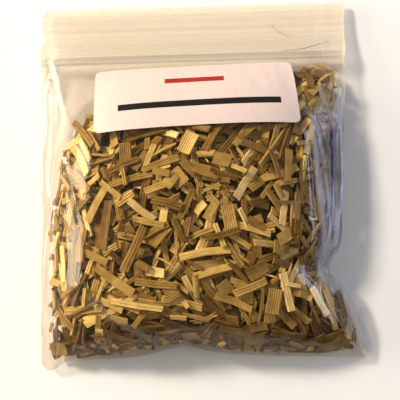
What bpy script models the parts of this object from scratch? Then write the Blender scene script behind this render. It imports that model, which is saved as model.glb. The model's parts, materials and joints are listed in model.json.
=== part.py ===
# A clear zip bag filled with dried cut lemongrass, lying on its back.
# Metres. +X runs across the bag, +Y towards its mouth and +Z up. The origin is under the middle of the bag.
import math
import random

import bmesh
import bpy
from mathutils import Vector

MM = 0.001

# Outline of the filled bag, seen from above, in millimetres.
# A seal's points give its x at each y, and the fold's give its y at each part of the half width.
HALF_WIDTH = 54.0
LIP_Y = 63.0
ZIP_Y = 42.5
FOLD_Y = -60.0
LEFT_SEAL = ((-64, -53.4), (-45, -52.7), (-27, -52.2), (10, -52.4), (ZIP_Y, -53.6), (LIP_Y, -HALF_WIDTH))
RIGHT_SEAL = (
    (-64, 54.0), (-50, 51.4), (-40, 47.6), (-33, 41.8), (-24, 46.2), (10, 49.4), (ZIP_Y, 52.6),
    (LIP_Y, HALF_WIDTH),
)
BOTTOM_FOLD = (
    (-1.0, -60.4), (-0.95, -63.0), (-0.84, -60.4), (-0.4, -59.2), (-0.1, -56.4), (0.05, -58.4), (0.4, -60.2),
    (1.0, -61.6),
)
SEAL_HEIGHT = ((-64, 2.6), (-50, 5.6), (-20, 8.2), (20, 7.8), (ZIP_Y, 5.6), (LIP_Y, 2.6))

# Film: wall, the space between the walls where the bag is flat, and how the full part rises and falls
COLUMNS_PER_SIDE = 11
WALL = 0.4
LAYER_GAP = 0.4
FRONT_RISE = 17.5
BACK_DROP = 9.5
SHOULDER_TOP = 41.0
SHOULDER_LENGTH = 43.0
SHOULDER_SOFTNESS = 0.85
FOOT_LENGTH = 20.0
FOOT_ROUNDNESS = 2.2
FOOT_SOFTNESS = 0.6
LEFT_FIN = ((-64, 3.5), (-40, 3.5), (-10, 6.5), (ZIP_Y, 9.0))
RIGHT_FIN = ((-64, 4.0), (-45, 6.0), (-33, 5.0), (-10, 9.5), (20, 8.0), (ZIP_Y, 6.0))
SIDE_ROUNDNESS = 3.4
SIDE_SOFTNESS = 0.8

# Zip: a rib on the front wall that sits between two rails on the back wall
ZIP_ROOM = 1.5
ZIP_BULGE = 2.4
RIB_WIDTH = 0.7
ZIP_CLEARANCE = 0.32

# Label: its lean is how much the slope under it shortens it, seen from above
LABEL_SIZE = (66.7, 25.4)
LABEL_CENTRE = (-0.8, 25.2)
LABEL_CORNER = 2.2
LABEL_THICKNESS = 0.3
LABEL_LIFT = 0.5
LABEL_LEAN = (0.985, 0.92)

# Cut lemongrass: kinds of bit as share, least and most length, least and most width, and thickness
BIT_KINDS = (
    (0.56, (13.0, 21.0), (3.4, 5.2), 1.4),
    (0.24, (8.5, 11.0), (6.0, 8.0), 1.2),
    (0.20, (10.0, 17.0), (1.8, 2.6), 1.5),
)
BITS_ON_FRONT = 170
BITS_ON_BACK = 90
BIT_TILT = 0.16
BIT_ROLL = 0.24
BIT_SKEW = 0.5
SKIN_TO_BIT = 1.1
DEEPEST_BIT = 3.8
DEPTH_STEP = 0.25
ROOT_DEPTH = 0.3
LEAST_ROOM = 6.5

# The heap's ends, and the packed middle that the bits stand out of
HEAP_FOOT = -58.0
HEAP_TOP = 39.0
HEAP_INSET = 1.0
CORE_INSET = 5.0
CORE_HALF_EDGE = 0.5
SKIN_TO_CORE = 3.2
STEEPEST_SKIN = 0.35
CORNER_ROUND = 7.0
EVEN_SPREAD = 1.32471795724  # steps by this ratio and its square fill a rectangle evenly
SEED = 31


def clear_scene():
    for item in list(bpy.data.objects):
        bpy.data.objects.remove(item)


def slope_at(points, index):
    before = points[max(index - 1, 0)]
    after = points[min(index + 1, len(points) - 1)]
    return (after[1] - before[1]) / (after[0] - before[0])


def read_curve(points, at):
    # A smooth curve through a short list of points, level beyond its two ends
    if at <= points[0][0]:
        return points[0][1]
    for index in range(len(points) - 1):
        start, low = points[index]
        end, high = points[index + 1]
        if at <= end:
            span = end - start
            part = (at - start) / span
            eased = part * part * (3 - 2 * part)
            leave = part * (1 - part) ** 2 * span * slope_at(points, index)
            arrive = part * part * (1 - part) * span * slope_at(points, index + 1)
            return low + (high - low) * eased + leave - arrive
    return points[-1][1]


def shoulder(y):
    part = min(max((SHOULDER_TOP - y) / SHOULDER_LENGTH, 0.0), 1.0)
    return math.sin(part * math.pi / 2) ** SHOULDER_SOFTNESS


def foot(distance):
    part = min(max(distance / FOOT_LENGTH, 0.0), 1.0)
    return (1 - (1 - part) ** FOOT_ROUNDNESS) ** FOOT_SOFTNESS


def fold_line(x):
    return read_curve(BOTTOM_FOLD, x / HALF_WIDTH)


def fullness(x, y):
    # How full the bag is at a place, from 0 where the two walls meet to 1 over the belly
    left = read_curve(LEFT_SEAL, y) + read_curve(LEFT_FIN, y)
    right = read_curve(RIGHT_SEAL, y) - read_curve(RIGHT_FIN, y)
    middle = (left + right) / 2
    across = abs(x - middle) / ((right - left) / 2)
    if across >= 1:
        return 0.0
    side = (1 - across ** SIDE_ROUNDNESS) ** SIDE_SOFTNESS
    return side * shoulder(y) * foot(y - fold_line(x))


def zip_bulge(y):
    part = abs(y - ZIP_Y) / ZIP_BULGE
    return (ZIP_ROOM - LAYER_GAP) / 2 * min(max(2 - 2 * part, 0.0), 1.0)


def front_height(x, y):
    clear = LAYER_GAP / 2 + WALL + zip_bulge(y)
    return read_curve(SEAL_HEIGHT, y) + clear + FRONT_RISE * fullness(x, y)


def back_height(x, y):
    clear = LAYER_GAP / 2 + WALL + zip_bulge(y)
    return max(read_curve(SEAL_HEIGHT, y) - clear - BACK_DROP * fullness(x, y), 0.0)


def surface_normal(height, x, y, side):
    step = 0.4
    slope_x = (height(x + step, y) - height(x - step, y)) / (2 * step)
    slope_y = (height(x, y + step) - height(x, y - step)) / (2 * step)
    return Vector((-slope_x, -slope_y, 1.0)).normalized() * side


def make_material(name, colour, roughness, alpha=1.0):
    material = bpy.data.materials.new(name)
    material.use_nodes = True
    shader = material.node_tree.nodes["Principled BSDF"]
    shader.inputs["Base Color"].default_value = (*colour, 1.0)
    shader.inputs["Roughness"].default_value = roughness
    shader.inputs["Alpha"].default_value = alpha
    return material


def object_from(name, mesh_data, material):
    mesh = bpy.data.meshes.new(name)
    mesh_data.normal_update()
    mesh_data.to_mesh(mesh)
    mesh_data.free()
    mesh.materials.append(material)
    made = bpy.data.objects.new(name, mesh)
    bpy.context.collection.objects.link(made)
    return made


def shade_round(made, degrees):
    made.data.shade_smooth()
    made.data.set_sharp_from_angle(angle=math.radians(degrees))


def fuse(base, extras, solver):
    # One union of the base with everything in the list, applied
    group = bpy.data.collections.new(base.name + "_extras")
    bpy.context.scene.collection.children.link(group)
    for extra in extras:
        bpy.context.collection.objects.unlink(extra)
        group.objects.link(extra)
    union = base.modifiers.new("Union", "BOOLEAN")
    union.operation = "UNION"
    union.operand_type = "COLLECTION"
    union.collection = group
    union.solver = solver
    apply_modifiers(base)
    for extra in extras:
        bpy.data.objects.remove(extra)
    bpy.data.collections.remove(group)


def apply_modifiers(made):
    bpy.context.view_layer.update()
    graph = bpy.context.evaluated_depsgraph_get()
    finished = bpy.data.meshes.new_from_object(made.evaluated_get(graph))
    made.modifiers.clear()
    made.data = finished


def keep_main_shell(made):
    # Drops loose scraps and fills hollows that the union sealed: only the largest closed shell stays
    mesh_data = bmesh.new()
    mesh_data.from_mesh(made.data)
    waiting = set(mesh_data.verts)
    shells = []
    while waiting:
        shell = set()
        edge = {waiting.pop()}
        while edge:
            shell |= edge
            edge = {link.other_vert(vert) for vert in edge for link in vert.link_edges} - shell
        waiting -= shell
        shells.append(shell)
    largest = max(shells, key=len)
    scraps = [vert for vert in mesh_data.verts if vert not in largest]
    bmesh.ops.delete(mesh_data, geom=scraps, context="VERTS")
    mesh_data.to_mesh(made.data)
    mesh_data.free()


def spaced(start, end, count):
    return [start + (end - start) * index / (count - 1) for index in range(count)]


def film_columns():
    # Places across the bag, from -1 at the left seal to 1 at the right one, closer where the film bends
    half = [math.sin(math.pi / 2 * part) for part in spaced(0.0, 1.0, COLUMNS_PER_SIDE)]
    return [-place for place in reversed(half[1:])] + half


def film_rows():
    # Places along the bag, from 0 at the bottom fold to 1 at the lip, closer at the foot and the zip
    foot_rows = [FOLD_Y + rise for rise in (0.0, 0.6, 2.0, 4.5, 8.0, 12.5, 18.0)]
    belly_rows = spaced(FOLD_Y + 26.0, ZIP_Y - 6.5, 11)
    zip_rows = [ZIP_Y + offset for offset in (-ZIP_BULGE, -ZIP_BULGE / 2, ZIP_BULGE / 2, ZIP_BULGE)]
    lip_rows = [(ZIP_Y + LIP_Y) / 2, LIP_Y]
    return [(row - FOLD_Y) / (LIP_Y - FOLD_Y) for row in foot_rows + belly_rows + zip_rows + lip_rows]


def film_point(across, along, height):
    fold = read_curve(BOTTOM_FOLD, across)
    y = fold + (LIP_Y - fold) * along
    left = read_curve(LEFT_SEAL, y)
    right = read_curve(RIGHT_SEAL, y)
    x = left + (right - left) * (across + 1) / 2
    return Vector((x, y, height(x, y))) * MM


def make_bag_film():
    mesh_data = bmesh.new()
    columns = film_columns()
    loops = []
    for along in film_rows():
        front = [mesh_data.verts.new(film_point(across, along, front_height)) for across in columns]
        back = [mesh_data.verts.new(film_point(across, along, back_height)) for across in columns]
        loops.append(front + back[::-1])
    around = len(loops[0])
    for lower, upper in zip(loops, loops[1:]):
        for index in range(around):
            after = (index + 1) % around
            mesh_data.faces.new((lower[index], lower[after], upper[after], upper[index]))
    for index in range(len(columns) - 1):
        opposite = around - 1 - index
        lowest = loops[0]
        mesh_data.faces.new((lowest[index], lowest[opposite], lowest[opposite - 1], lowest[index + 1]))
    film = object_from("bag_film", mesh_data, make_material("clear_film", (0.93, 0.90, 0.84), 0.12, 0.25))
    wall = film.modifiers.new("Wall", "SOLIDIFY")
    wall.thickness = WALL * MM
    wall.offset = -1.0
    wall.use_even_offset = True
    apply_modifiers(film)
    fuse(film, make_zip_strips(), "EXACT")
    shade_round(film, 40)
    return film


def make_zip_strips():
    # The rib hangs from the front wall and the rails stand on the back wall, each sunk a little into its wall
    middle = read_curve(SEAL_HEIGHT, ZIP_Y)
    rail_offset = RIB_WIDTH + ZIP_CLEARANCE
    root = WALL / 2
    top = middle + ZIP_ROOM / 2
    bottom = middle - ZIP_ROOM / 2
    rib = strip("zip_rib", ZIP_Y, bottom + ZIP_CLEARANCE, top + root)
    rails = [
        strip("zip_rail", ZIP_Y + side * rail_offset, bottom - root, top - ZIP_CLEARANCE) for side in (-1, 1)
    ]
    return [rib] + rails


def strip(name, y, low, high):
    left = read_curve(LEFT_SEAL, y) + WALL / 2
    right = read_curve(RIGHT_SEAL, y) - WALL / 2
    size = Vector((right - left, RIB_WIDTH, high - low))
    centre = Vector(((left + right) / 2, y, (low + high) / 2))
    mesh_data = bmesh.new()
    bmesh.ops.create_cube(mesh_data, size=1.0)
    bmesh.ops.scale(mesh_data, vec=size * MM, verts=mesh_data.verts)
    bmesh.ops.translate(mesh_data, vec=centre * MM, verts=mesh_data.verts)
    return object_from(name, mesh_data, bpy.data.materials["clear_film"])


def core_height(height, side):
    # The surface of the packed middle of the heap, a set depth under the film and shrinking to its edge
    def depth(x, y):
        normal = surface_normal(height, x, y, side)
        return height(x, y) - side * SKIN_TO_CORE / max(abs(normal.z), STEEPEST_SKIN)
    return depth


def heap_outline(y, inset):
    # The heap's left and right edges at a place along the bag, drawn in towards its two ends
    left = read_curve(LEFT_SEAL, y) + read_curve(LEFT_FIN, y) + inset
    right = read_curve(RIGHT_SEAL, y) - read_curve(RIGHT_FIN, y) - inset
    middle = (HEAP_FOOT + HEAP_TOP) / 2
    part = min(abs(y - middle) / (HEAP_TOP - middle), 1.0)
    corner = CORNER_ROUND * part ** 8
    return left + corner, right - corner


def make_core():
    # The packed middle of the heap: an upper and a lower sheet that meet round the edge
    upper_height = core_height(front_height, 1)
    lower_height = core_height(back_height, -1)
    rows = spaced(HEAP_FOOT + CORE_INSET, HEAP_TOP - CORE_INSET, 14)
    columns = spaced(-1.0, 1.0, 12)
    mesh_data = bmesh.new()
    sheets = [[], []]
    for row, y in enumerate(rows):
        left, right = heap_outline(y, CORE_INSET)
        for sheet in sheets:
            sheet.append([])
        for column, across in enumerate(columns):
            x = left + (right - left) * (across + 1) / 2
            low = lower_height(x, y)
            high = upper_height(x, y)
            middle = (low + high) / 2
            edge = row in (0, len(rows) - 1) or column in (0, len(columns) - 1)
            if edge:
                shared = mesh_data.verts.new(Vector((x, y, middle)) * MM)
                sheets[0][-1].append(shared)
                sheets[1][-1].append(shared)
                continue
            half = max((high - low) / 2, CORE_HALF_EDGE)
            sheets[0][-1].append(mesh_data.verts.new(Vector((x, y, middle + half)) * MM))
            sheets[1][-1].append(mesh_data.verts.new(Vector((x, y, middle - half)) * MM))
    for sheet, turn in ((sheets[0], 1), (sheets[1], -1)):
        for lower, upper in zip(sheet, sheet[1:]):
            for index in range(len(lower) - 1):
                face = (lower[index], lower[index + 1], upper[index + 1], upper[index])
                mesh_data.faces.new(face[::turn])
    material = make_material("dried_cut_grass", (0.33, 0.24, 0.09), 0.85)
    return object_from("cut_lemongrass", mesh_data, material)


def inside_film(point):
    x, y, z = point
    for height, side in ((front_height, 1), (back_height, -1)):
        slope = abs(surface_normal(height, x, y, side).z)
        if (height(x, y) - z) * side * slope < SKIN_TO_BIT:
            return False
    return True


def bit_corners(centre, normal, length, width, thickness, draw):
    # A flat bit cut at a slant: its long side turned at random in the skin's plane and tipped a little
    flat = normal.cross(Vector((0, 1, 0))).normalized()
    other = normal.cross(flat)
    turn = draw.uniform(0, math.pi)
    tilt = draw.uniform(-BIT_TILT, BIT_TILT)
    roll = draw.uniform(-BIT_ROLL, BIT_ROLL)
    run = (flat * math.cos(turn) + other * math.sin(turn) + normal * tilt).normalized()
    side = (normal.cross(run) + normal * roll).normalized()
    up = run.cross(side).normalized()
    skew = draw.uniform(-BIT_SKEW, BIT_SKEW) * width
    corners = []
    for rise in (-0.5, 0.5):
        for end, edge in ((-0.5, -0.5), (0.5, -0.5), (0.5, 0.5), (-0.5, 0.5)):
            in_plane = run * (end * length + edge * skew) + side * edge * width
            corners.append(centre + in_plane + up * rise * thickness)
    return corners


def make_bit(name, corners, material):
    mesh_data = bmesh.new()
    verts = [mesh_data.verts.new(corner * MM) for corner in corners]
    bottom = verts[:4]
    top = verts[4:]
    mesh_data.faces.new(bottom[::-1])
    mesh_data.faces.new(top)
    for index in range(4):
        after = (index + 1) % 4
        mesh_data.faces.new((bottom[index], bottom[after], top[after], top[index]))
    bmesh.ops.recalc_face_normals(mesh_data, faces=mesh_data.faces)
    return object_from(name, mesh_data, material)


def draw_kind(draw):
    pick = draw.random()
    for share, lengths, widths, thickness in BIT_KINDS:
        if pick <= share:
            return draw.uniform(*lengths), draw.uniform(*widths), thickness
        pick -= share
    return draw.uniform(*BIT_KINDS[0][1]), draw.uniform(*BIT_KINDS[0][2]), BIT_KINDS[0][3]


def in_core(corner, core, side):
    x, y, z = corner
    left, right = heap_outline(y, CORE_INSET)
    if not (left < x < right and HEAP_FOOT + CORE_INSET < y < HEAP_TOP - CORE_INSET):
        return False
    return (core(x, y) - z) * side > ROOT_DEPTH


def spread_bits(height, side, count, draw, material):
    # Evenly spread starting places over one wall of the bag, each bit pushed in until it clears the film
    bits = []
    core = core_height(height, side)
    for index in range(count * 4):
        if len(bits) == count:
            break
        y = HEAP_FOOT + (HEAP_TOP - HEAP_FOOT) * ((0.5 + index / EVEN_SPREAD) % 1)
        left, right = heap_outline(y, HEAP_INSET)
        x = left + (right - left) * ((0.5 + index / EVEN_SPREAD ** 2) % 1)
        length, width, thickness = draw_kind(draw)
        if front_height(x, y) - back_height(x, y) < LEAST_ROOM:
            continue
        normal = surface_normal(height, x, y, side)
        skin = Vector((x, y, height(x, y)))
        depth = SKIN_TO_BIT + thickness / 2
        state = draw.getstate()
        while depth < DEEPEST_BIT:
            draw.setstate(state)
            corners = bit_corners(skin - normal * depth, normal, length, width, thickness, draw)
            if all(inside_film(corner) for corner in corners):
                break
            depth += DEPTH_STEP
        else:
            continue
        rooted = [corner for corner in corners if in_core(corner, core, side)]
        if len(rooted) >= 2:
            bits.append(make_bit("bit", corners, material))
    return bits


def make_cut_lemongrass():
    draw = random.Random(SEED)
    heap = make_core()
    material = heap.data.materials[0]
    bits = spread_bits(front_height, 1, BITS_ON_FRONT, draw, material)
    bits += spread_bits(back_height, -1, BITS_ON_BACK, draw, material)
    fuse(heap, bits, "EXACT")
    keep_main_shell(heap)
    return heap


def label_rows():
    # Places up the label with its half width there, so that its corners come out round
    half_height = LABEL_SIZE[1] / 2
    turns = spaced(0.0, math.pi / 2, 4)
    corner = [(LABEL_CORNER * (1 - math.cos(turn)), LABEL_CORNER * (1 - math.sin(turn))) for turn in turns]
    rows = [(-half_height + up, LABEL_SIZE[0] / 2 - cut) for up, cut in corner]
    rows += [(place, LABEL_SIZE[0] / 2) for place in spaced(-half_height + 5, half_height - 5, 4)]
    rows += [(-up, half_width) for up, half_width in rows[3::-1]]
    return rows


def make_label():
    columns = spaced(-1.0, 1.0, 15)
    mesh_data = bmesh.new()
    sheets = []
    for lift in (LABEL_LIFT, LABEL_LIFT + LABEL_THICKNESS):
        sheet = []
        for up, half_width in label_rows():
            sheet.append([])
            for across in columns:
                x = LABEL_CENTRE[0] + across * half_width * LABEL_LEAN[0]
                y = LABEL_CENTRE[1] + up * LABEL_LEAN[1]
                normal = surface_normal(front_height, x, y, 1)
                point = Vector((x, y, front_height(x, y))) + normal * lift
                sheet[-1].append(mesh_data.verts.new(point * MM))
        sheets.append(sheet)
    for sheet, turn in ((sheets[0], -1), (sheets[1], 1)):
        for lower, upper in zip(sheet, sheet[1:]):
            for index in range(len(columns) - 1):
                face = (lower[index], lower[index + 1], upper[index + 1], upper[index])
                mesh_data.faces.new(face[::turn])
    rims = [rim_of(sheet) for sheet in sheets]
    for index in range(len(rims[0])):
        after = (index + 1) % len(rims[0])
        mesh_data.faces.new((rims[0][index], rims[0][after], rims[1][after], rims[1][index]))
    label = object_from("label", mesh_data, make_material("label_paper", (0.87, 0.82, 0.74), 0.6))
    shade_round(label, 40)
    return label


def rim_of(sheet):
    left = [row[0] for row in sheet]
    right = [row[-1] for row in sheet]
    return sheet[0] + right[1:-1] + sheet[-1][::-1] + left[-2:0:-1]


def main():
    clear_scene()
    make_bag_film()
    make_cut_lemongrass()
    make_label()


main()
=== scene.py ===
# Clear zip bag of dried cut lemongrass, lying on its back
import json
import math

import bmesh
import bpy
import numpy as np
from mathutils import Matrix, Vector

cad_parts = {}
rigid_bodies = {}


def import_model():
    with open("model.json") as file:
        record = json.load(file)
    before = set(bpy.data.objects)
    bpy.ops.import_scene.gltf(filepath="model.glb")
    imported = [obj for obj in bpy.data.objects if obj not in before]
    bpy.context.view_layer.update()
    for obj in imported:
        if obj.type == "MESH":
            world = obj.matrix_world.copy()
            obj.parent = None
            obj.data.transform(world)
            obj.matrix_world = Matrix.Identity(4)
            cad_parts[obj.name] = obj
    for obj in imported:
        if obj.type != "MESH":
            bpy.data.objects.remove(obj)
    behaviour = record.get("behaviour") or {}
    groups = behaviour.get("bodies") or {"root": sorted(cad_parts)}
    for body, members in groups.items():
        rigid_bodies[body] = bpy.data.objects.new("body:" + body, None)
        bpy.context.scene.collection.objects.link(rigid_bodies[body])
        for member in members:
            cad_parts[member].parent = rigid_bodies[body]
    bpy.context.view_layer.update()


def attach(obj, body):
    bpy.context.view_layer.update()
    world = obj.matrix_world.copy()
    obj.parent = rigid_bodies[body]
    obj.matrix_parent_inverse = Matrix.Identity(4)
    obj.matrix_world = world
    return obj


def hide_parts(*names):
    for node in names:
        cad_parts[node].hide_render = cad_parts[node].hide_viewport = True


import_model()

mm = 0.001

# The filled bag in millimetres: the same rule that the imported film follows
bagShape = {
    "halfWidth": 54.0,
    "lipY": 63.0,
    "zipY": 42.5,
    "foldY": -60.0,
    "leftSeal": [(-64, -53.4), (-45, -52.7), (-27, -52.2), (10, -52.4), (32, -53.2), (42, -54.3), (47, -54.2),
                 (49.6, -53.0), (51.2, -52.7), (53.2, -53.7), (60, -54.0), (62.2, -53.4), (63, -52.6)],
    "rightSeal": [(-64, 54.0), (-50, 51.4), (-40, 47.6), (-33, 41.8), (-24, 46.2), (10, 49.4), (42.5, 52.6),
                  (63, 54.0)],
    "bottomFold": [(-1.0, -60.4), (-0.95, -63.0), (-0.84, -60.4), (-0.4, -59.2), (-0.1, -56.4), (0.05, -58.4),
                   (0.4, -60.2), (1.0, -61.6)],
    "sealHeight": [(-64, 2.6), (-50, 5.6), (-20, 8.2), (20, 7.8), (42.5, 5.6), (63, 2.6)],
    "leftFin": [(-64, 2.0), (-40, 2.0), (-10, 3.0), (12, 5.0), (28, 9.0), (42.5, 12.0)],
    "rightFin": [(-64, 3.5), (-45, 3.5), (-33, 1.8), (-10, 2.0), (20, 2.0), (42.5, 3.0)],
    "leftRoundness": 3.4,
    "rightRoundness": 2.7,
    "sideSoftness": 0.8,
    "shoulderTop": 41.0,
    "shoulderLength": 43.0,
    "shoulderSoftness": 0.85,
    "footLength": 20.0,
    "footRoundness": 2.2,
    "footSoftness": 0.6,
    "frontRise": 17.5,
    "backDrop": 9.5,
    "flatHalf": 0.6,      # half the thickness where the two walls lie on each other
    "zipHalf": 0.42,      # how much more that is at the zip
    "zipReach": 3.0,
    "strayRoom": 1.0,     # room beside the belly, where single bits lie between the walls
    "strayTop": 40.0,
    "strayFade": (0.3, 4.0),      # distances from the seals over which that room opens
}


def curveAt(points, at):
    xs, ys = np.array(points, float).T
    slopes = np.empty(len(xs))
    slopes[1:-1] = (ys[2:] - ys[:-2]) / (xs[2:] - xs[:-2])
    slopes[0] = (ys[1] - ys[0]) / (xs[1] - xs[0])
    slopes[-1] = (ys[-1] - ys[-2]) / (xs[-1] - xs[-2])
    at = np.clip(at, xs[0], xs[-1])
    i = np.clip(np.searchsorted(xs, at, side="right") - 1, 0, len(xs) - 2)
    span = xs[i + 1] - xs[i]
    t = (at - xs[i]) / span
    eased = t * t * (3 - 2 * t)
    bend = slopes[i] * t * (1 - t) ** 2 - slopes[i + 1] * t * t * (1 - t)
    return ys[i] + (ys[i + 1] - ys[i]) * eased + span * bend


def smoothStep(low, high, value):
    t = np.clip((value - low) / (high - low), 0, 1)
    return t * t * (3 - 2 * t)


def noiseAt(x, y, seed):
    cells = 64
    table = np.random.default_rng(seed).uniform(-1, 1, (cells, cells))
    i = np.floor(x).astype(int)
    j = np.floor(y).astype(int)
    u = x - i
    v = y - j
    u = u * u * u * (u * (u * 6 - 15) + 10)
    v = v * v * v * (v * (v * 6 - 15) + 10)
    low = table[i % cells, j % cells] * (1 - u) + table[(i + 1) % cells, j % cells] * u
    high = table[i % cells, (j + 1) % cells] * (1 - u) + table[(i + 1) % cells, (j + 1) % cells] * u
    return low * (1 - v) + high * v


def crestsAt(x, y, seed):
    return 1 - 2 * np.abs(noiseAt(x, y, seed))      # sharp crests, broad hollows


def leftSealAt(y):
    return curveAt(bagShape["leftSeal"], y)


def rightSealAt(y):
    return curveAt(bagShape["rightSeal"], y)


def bottomFoldAt(x):
    return curveAt(bagShape["bottomFold"], x / bagShape["halfWidth"])


def fullnessAt(x, y):
    # from 0, where the walls meet, to 1 in the middle of the belly
    s = bagShape
    left = leftSealAt(y) + curveAt(s["leftFin"], y)
    right = rightSealAt(y) - curveAt(s["rightFin"], y)
    across = np.clip(np.abs(x - (left + right) / 2) / ((right - left) / 2), 0, 1)
    roundness = np.where(x * 2 < left + right, s["leftRoundness"], s["rightRoundness"])
    side = (1 - across ** roundness) ** s["sideSoftness"]
    fall = np.clip((s["shoulderTop"] - y) / s["shoulderLength"], 0, 1)
    shoulder = np.sin(fall * math.pi / 2) ** s["shoulderSoftness"]
    rise = np.clip((y - bottomFoldAt(x)) / s["footLength"], 0, 1)
    foot = (1 - (1 - rise) ** s["footRoundness"]) ** s["footSoftness"]
    return side * shoulder * foot


def flatHalfAt(y):
    part = np.abs(y - bagShape["zipY"]) / bagShape["zipReach"]
    return bagShape["flatHalf"] + bagShape["zipHalf"] * np.clip(2 - 2 * part, 0, 1)


def strayRoomAt(x, y):
    s = bagShape
    near, far = s["strayFade"]
    room = smoothStep(near, far, x - leftSealAt(y)) * smoothStep(near, far, rightSealAt(y) - x)
    room *= smoothStep(0.0, far, y - bottomFoldAt(x))
    return s["strayRoom"] * room * smoothStep(s["strayTop"], s["strayTop"] - 9, y)


def frontAt(x, y):
    half = flatHalfAt(y) + strayRoomAt(x, y)
    return curveAt(bagShape["sealHeight"], y) + half + bagShape["frontRise"] * fullnessAt(x, y)


def backAt(x, y):
    half = flatHalfAt(y) + strayRoomAt(x, y)
    lowest = curveAt(bagShape["sealHeight"], y) - half - bagShape["backDrop"] * fullnessAt(x, y)
    return np.maximum(lowest, 0.0)


# Small helpers for meshes
def meshObject(name, points, faces, material=None, smooth=True):
    mesh = bpy.data.meshes.new(name)
    mesh.from_pydata([tuple(p) for p in points], [], faces)
    mesh.validate()
    made = bpy.data.objects.new(name, mesh)
    bpy.context.scene.collection.objects.link(made)
    if material:
        mesh.materials.append(material)
    if smooth:
        mesh.shade_smooth()
    return made


def gridFaces(rows, columns, start=0, turned=False):
    faces = []
    for row in range(rows - 1):
        for column in range(columns - 1):
            a = start + row * columns + column
            face = (a, a + 1, a + columns + 1, a + columns)
            faces.append(face[::-1] if turned else face)
    return faces


def pointsOf(x, y, z):
    return np.stack([x, y, z], axis=-1).reshape(-1, 3) * mm


def tidyNormals(made):
    work = bmesh.new()
    work.from_mesh(made.data)
    bmesh.ops.recalc_face_normals(work, faces=work.faces)
    work.to_mesh(made.data)
    work.free()


def setUv(mesh, name, coordinates):
    layer = mesh.uv_layers.new(name=name)
    for loop in mesh.loops:
        layer.data[loop.index].uv = coordinates[loop.vertex_index]


def finished(made):
    # turns what the modifiers make into the plain mesh
    graph = bpy.context.evaluated_depsgraph_get()
    mesh = bpy.data.meshes.new_from_object(made.evaluated_get(graph))
    made.modifiers.clear()
    old = made.data
    made.data = mesh
    mesh.name = made.name
    if old.users == 0:
        bpy.data.meshes.remove(old)
    return made


# Small helpers for node trees
def addNode(tree, kind, inputs=None, **settings):
    node = tree.nodes.new(kind)
    for key, value in settings.items():
        setattr(node, key, value)
    for key, value in (inputs or {}).items():
        if isinstance(value, bpy.types.NodeSocket):
            tree.links.new(value, node.inputs[key])
        else:
            node.inputs[key].default_value = value
    return node


def newMaterial(name):
    material = bpy.data.materials.new(name)
    material.use_nodes = True
    tree = material.node_tree
    tree.nodes.clear()
    out = tree.nodes.new("ShaderNodeOutputMaterial")
    return material, tree, out


def addSkin(tree, out, inputs):
    skin = addNode(tree, "ShaderNodeBsdfPrincipled", inputs)
    tree.links.new(skin.outputs[0], out.inputs["Surface"])


def noiseNode(tree, vector, scale, detail):
    node = addNode(tree, "ShaderNodeTexNoise", {"Vector": vector, "Scale": scale, "Detail": detail})
    return node.outputs["Fac"]


def bumpNode(tree, height, strength, distance):
    node = addNode(tree, "ShaderNodeBump", {"Height": height, "Strength": strength, "Distance": distance})
    return node.outputs[0]


def addSockets(group, given, result):
    for way, sockets in (("INPUT", given), ("OUTPUT", result)):
        for name, kind in sockets:
            group.interface.new_socket(name=name, in_out=way, socket_type=kind)


def colourRamp(tree, fac, stops):
    ramp = addNode(tree, "ShaderNodeValToRGB", {"Fac": fac})
    bands = ramp.color_ramp.elements
    while len(bands) < len(stops):
        bands.new(0.5)
    for band, (place, colour) in zip(bands, stops):
        band.position = place
        band.color = (*colour, 1)
    return ramp.outputs["Color"]


def mathNode(tree, operation, first, second=0.5, clamp=False):
    node = tree.nodes.new("ShaderNodeMath")
    node.operation = operation
    node.use_clamp = clamp
    for index, value in enumerate((first, second)):
        if isinstance(value, bpy.types.NodeSocket):
            tree.links.new(value, node.inputs[index])
        else:
            node.inputs[index].default_value = value
    return node.outputs[0]


# Camera at the photograph's angle: nearly straight down, a hand's length away, turned a little
view = {
    "target": (0.3, -8.8, 9.5),
    "distance": 237.5,
    "elevation": 80.0,
    "turn": -1.7,
    "lens": 64.3,
}


def makeCamera():
    lens = bpy.data.cameras.new("camera")
    lens.lens = view["lens"]
    lens.sensor_width = 36
    lens.clip_start = 0.01
    camera = bpy.data.objects.new("camera", lens)
    bpy.context.scene.collection.objects.link(camera)
    lift = math.radians(view["elevation"])
    back = Vector((0, -math.cos(lift), math.sin(lift)))
    camera.location = (Vector(view["target"]) + back * view["distance"]) * mm
    turned = back.to_track_quat("Z", "Y").to_matrix()
    camera.rotation_euler = (Matrix.Rotation(math.radians(view["turn"]), 3, back) @ turned).to_euler()
    bpy.context.scene.camera = camera


# Studio: pale floor, a warm soft light on the left, a cool one on the right, and an even sky
studio = {
    "floorColour": (0.83, 0.87, 0.94),
    "floorSize": 1.6,
    "sky": (1.0, 0.91, 0.80),
    "skyFrom": (-0.60, 0.35, -0.72),      # the sky is brightest this way, low on the left
    "skyMost": 0.50,
    "skyLeast": 0.05,
    "lamps": [
        {"name": "warm_window", "at": (-0.96, 0.58, 0.87), "aim": (0, 0, 0.01), "size": (0.22, 0.22),
         "colour": (1.0, 0.85, 0.66), "power": 24.6, "glare": False},
        {"name": "soft_fill", "at": (0.30, -0.05, 0.90), "aim": (0, 0, 0.01), "size": (0.5, 0.5),
         "colour": (1.0, 0.90, 0.76), "power": 1.8, "glare": False},
        {"name": "left_glint", "at": (-0.90, 0.19, 0.30), "aim": (0, 0, 0.01), "size": (0.64, 0.30),
         "colour": (1.0, 0.87, 0.68), "power": 7.4, "glare": True},
        {"name": "right_glint", "at": (0.50, 0.08, 0.10), "aim": (0, 0, 0.01), "size": (0.45, 0.10),
         "colour": (0.54, 0.67, 1.0), "power": 0.95, "glare": True},
    ],
}


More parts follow.
